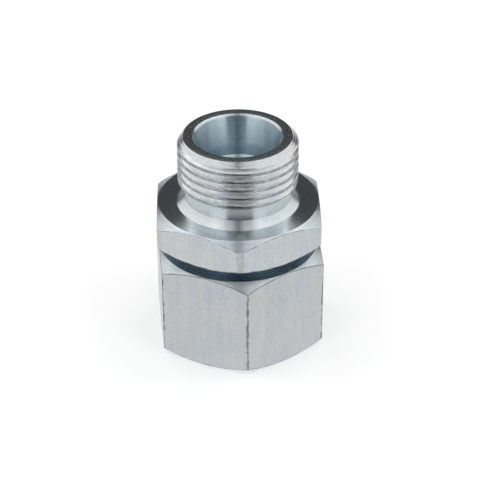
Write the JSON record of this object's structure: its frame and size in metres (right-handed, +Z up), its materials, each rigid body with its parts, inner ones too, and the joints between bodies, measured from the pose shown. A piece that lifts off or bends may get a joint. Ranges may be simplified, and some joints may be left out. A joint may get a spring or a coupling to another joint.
{
  "type": "straight adapter",
  "caption": "Straight tube adapter of zinc-plated steel: threaded stud with a cone socket, spanner hexagon, and a hexagon swivel nut that turns round a sealed cone nose.",
  "frame": {"origin": "centre of the nut's lower face, which the adapter stands on", "axes": "+Z up along the common axis of bore, thread and nut, out through the threaded stud; -Y towards the front corner of both hexagons"},
  "size_m": [0.0284, 0.031, 0.0374],
  "materials": {
    "body_zinc": "zinc-plated, turned, satin",
    "nut_zinc": "zinc-plated, satin",
    "ring_steel": "bare spring wire",
    "seal_rubber": "black rubber"
  },
  "bodies": {
    "adapter": {"adapter_body": "body_zinc", "retaining_ring": "ring_steel", "o_ring": "seal_rubber"},
    "nut": {"swivel_nut": "nut_zinc"}
  },
  "joints": [
    {"name": "nut_spin", "type": "hinge", "parent": "adapter", "child": "nut", "pos_m": [0, 0, 0.0088], "axis": [0, 0, 1], "continuous": true}
  ]
}
